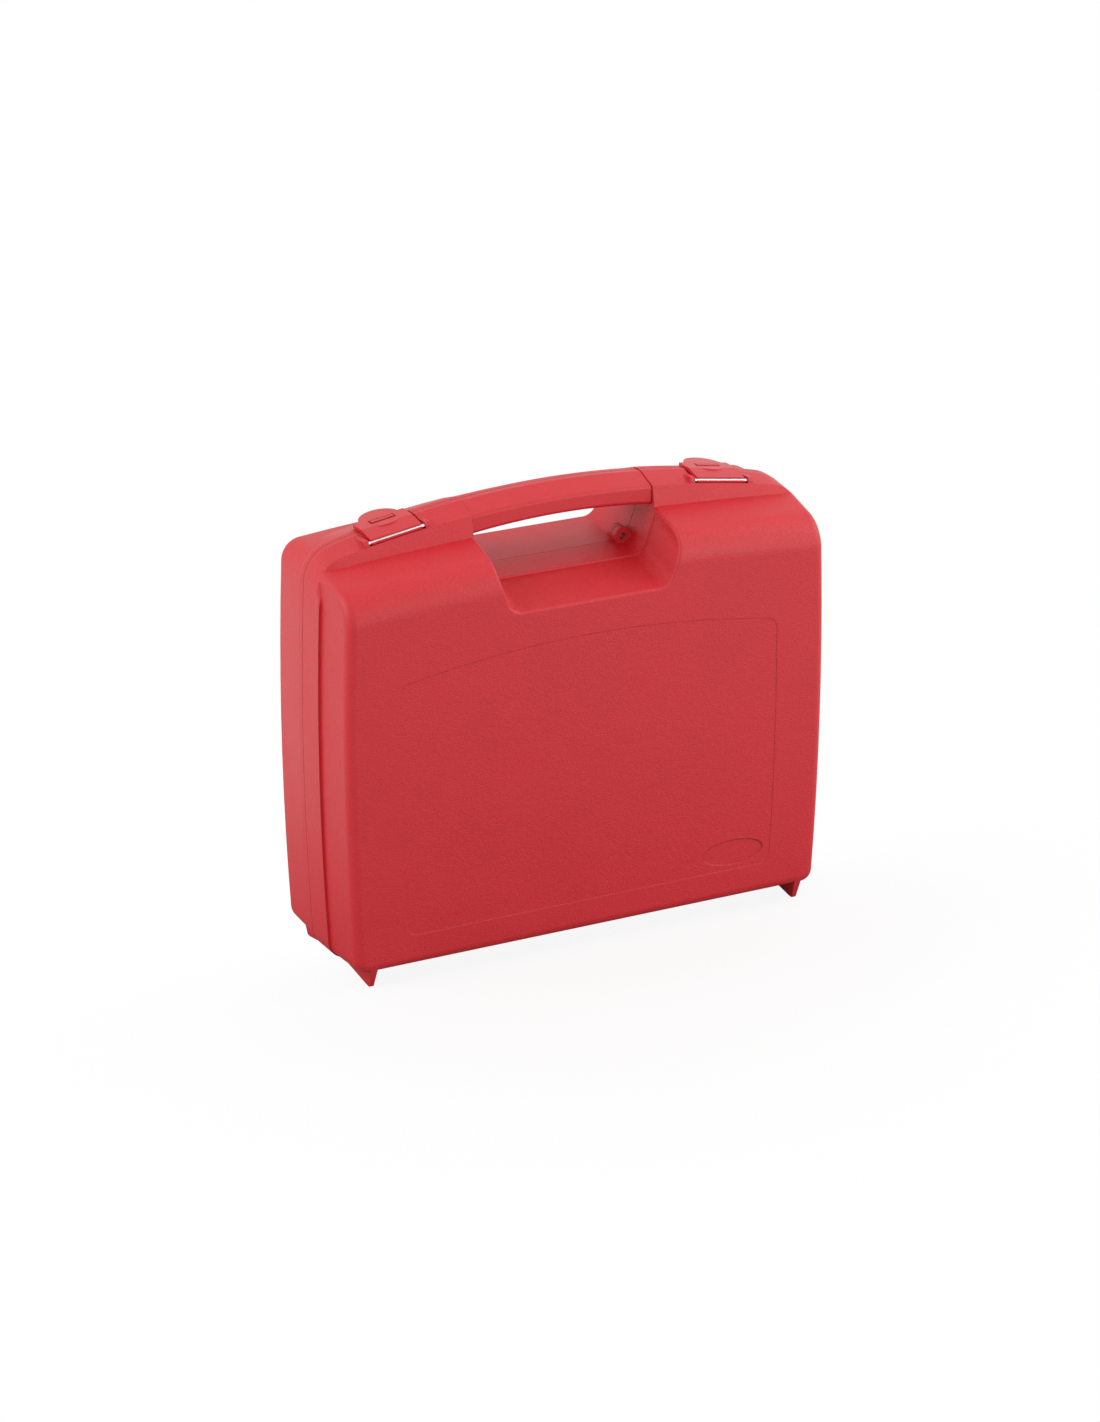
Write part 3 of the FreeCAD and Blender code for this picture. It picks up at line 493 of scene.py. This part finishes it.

# %% [markdown]
# ### The shell put together
#
# The kept triangles and the new panel become one mesh. Blender could work out its normals anew, but
# the CAD's own are exact on the curved shoulders, so the kept faces bring theirs along. The new shell
# rides on the same body and takes the place of the imported one, which is hidden but kept.

# %% Front shell with its oval


def shell_with_oval(name):
    """The shell's own faces with their normals, and the web of rings in place of the panel."""
    all_points = np.concatenate([points[used], rings.reshape(-1, 3), middle])
    faces = kept.reshape(-1, 3).tolist() + quads.tolist() + fan.tolist()
    mesh = bpy.data.meshes.new(name)
    mesh.from_pydata(all_points.tolist(), [], faces)
    mesh.shade_smooth()
    kept_normals = normals[~panel].reshape(-1, 3)
    web_normals = np.repeat(quad_normals(all_points[quads]), 4, axis=0)
    fan_normals = np.tile((0.0, -1.0, 0.0), (fan.size, 1))
    all_normals = np.concatenate([kept_normals, web_normals, fan_normals])
    mesh.normals_split_custom_set(all_normals.tolist())
    shell = bpy.data.objects.new(name, mesh)
    scene.collection.objects.link(shell)
    return shell


front_with_oval = shell_with_oval("front_shell_with_oval")
front_with_oval.data.materials.append(shell_red)
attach(front_with_oval, "front")
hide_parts("front_shell")
print("front shell keeps", int((~panel).sum()), "triangles")
print("front shell with oval:", len(front_with_oval.data.polygons), "faces")

# %% [markdown]
# ## The white surround
#
# Catalogue pictures of such cases are taken in a white tent, with soft light from all around. Cloth
# walls could be built and lit, but they would only add noise. Here the world does their work. It is
# plain white to the camera and in reflections, which the Light Path node tells apart, and a little
# less as a lamp.

# %% World


def ray_kinds(start):
    """Two values: one for rays straight from the camera, and one for rays from gloss or through
    glass."""
    node = start.make("LightPath", {}, {}).output.node
    direct, gloss, through = (
        Socket(start.tree, node.outputs["Is " + kind + " Ray"])
        for kind in ("Camera", "Glossy", "Transmission"))
    return direct, start.sum("MAXIMUM", gloss, through)


AMBIENT = 0.90
world = bpy.data.worlds.new("white_surround")
scene.world = world
world.use_nodes = True
backdrop = world.node_tree.nodes["Background"]
backdrop.inputs["Color"].default_value = (1.0, 1.0, 1.0, 1.0)
start = Socket(world.node_tree, backdrop.outputs[0])
direct, mirrored = ray_kinds(start)
level = start.sum("MAXIMUM", direct, mirrored).ramp(0.0, 1.0, AMBIENT, 1.0)
world.node_tree.links.new(level.output, backdrop.inputs["Strength"])
scene.view_settings.view_transform = "Standard"
print("world light", AMBIENT)

# %% [markdown]
# ## Soft lamps
#
# Outside the tent stands one large lamp at the left and two weaker ones at the right. So each face of
# the case has its own tone: the front is deepest, and the left side and the top are paler. The lamps'
# shares could be guessed. They were found by rendering each lamp alone and comparing tones with the
# photograph, because light only ever adds up, and then changed a little.

# %% Lamps
CASE_MIDDLE = Vector((0.0, 0.0, 0.12))


def soft_lamp(name, place, size, watts):
    """A square area lamp at a place, turned to the middle of the case."""
    lamp = bpy.data.lights.new(name, "AREA")
    lamp.shape = "SQUARE"
    lamp.size = size
    lamp.energy = watts
    stand = bpy.data.objects.new(name, lamp)
    stand.location = place
    stand.rotation_euler = (CASE_MIDDLE - Vector(place)).to_track_quat("-Z", "Y").to_euler()
    scene.collection.objects.link(stand)


soft_lamp("left_lamp", place=(-1.7, 0.2, 0.9), size=1.2, watts=13.0)
soft_lamp("right_lamp", place=(1.3, -0.3, 0.8), size=0.9, watts=7.0)
soft_lamp("front_lamp", place=(0.9, -1.4, 0.3), size=1.0, watts=7.0)

# %% [markdown]
# ## The floor's finish
#
# The case stands on its four fins on a pale floor, which takes a faint shadow and throws little light
# back. A plain endless floor would do for the closed case, but the lid hinges at the foot and swings
# down behind. So this floor ends there like a table. Away from the case it is as white as the
# surround, to the camera and in reflections: such rays pass through it to the white world, and near
# the case they meet the floor and its shadow.

# %% Matte floor that ends like a table
FLOOR_SEEN = (0.80, 0.80, 0.80, 1.0)
FLOOR_BOUNCE = (0.35, 0.35, 0.35, 1.0)
FLOOR_ROUGHNESS = 0.9
SHADOW_SHARE = 0.2
SHADOW_REACH = (0.15, 0.40)
SHADOW_BACK = (-0.10, 0.043)
TABLE_EDGE = (0.043, 0.050)


def floor_matte(name):
    """Matte near the case and clear elsewhere. To the camera a share of the floor shows near the
    case, and in reflections all of it does; both fall off by a smooth step over the distance, and
    the camera's share also towards the table's edge. Behind that edge it is clear to all rays but
    reflections, so that light falls on a lid that is swung down there."""
    finish, start, surface = new_finish(name)
    surface.inputs["Roughness"].default_value = FLOOR_ROUGHNESS
    surface.inputs["Specular IOR Level"].default_value = 0.0
    place = start.make("TexCoord", {}, {}, "Object")
    away = start.make("VectorMath", {"operation": "LENGTH"}, {0: place}, "Value")
    behind = start.make("SeparateXYZ", {}, {0: place}, "Y")
    direct, mirrored = ray_kinds(start)
    near = away.ramp(*SHADOW_REACH, 1.0, 0.0)
    shadow = SHADOW_SHARE * near * behind.ramp(*SHADOW_BACK, 1.0, 0.0)
    open_end = behind.ramp(*TABLE_EDGE) * (1 - mirrored)
    white = direct * (1 - shadow) + mirrored * (1 - near)
    clear_share = start.sum("MAXIMUM", open_end, white)
    feed(start, surface, Base_Color=direct.blend(FLOOR_BOUNCE, FLOOR_SEEN))
    clear = start.make("BsdfTransparent", {}, {})
    mixed = start.make("MixShader", {}, {0: clear_share, 1: start, 2: clear})
    start.tree.links.new(mixed.output, start.tree.nodes["Material Output"].inputs["Surface"])
    return finish


matte = floor_matte("studio_floor_matte")
print("floor finish:", matte.name)

# %% [markdown]
# ## The floor itself
#
# A studio floor is a board or a sweep of paper. A curved sweep would hide the horizon, but this floor
# is clear far from the case, so one flat square is enough.

# %% Pale floor
FLOOR_SIZE = 8.0


def pale_floor(name):
    """A flat square under the feet."""
    half = FLOOR_SIZE / 2
    sheet = bpy.data.meshes.new(name)
    corners = [(-half, -half, 0.0), (half, -half, 0.0), (half, half, 0.0), (-half, half, 0.0)]
    sheet.from_pydata(corners, [], [(0, 1, 2, 3)])
    sheet.materials.append(matte)
    floor = bpy.data.objects.new(name, sheet)
    scene.collection.objects.link(floor)


pale_floor("studio_floor")
print("floor of", FLOOR_SIZE, "m")
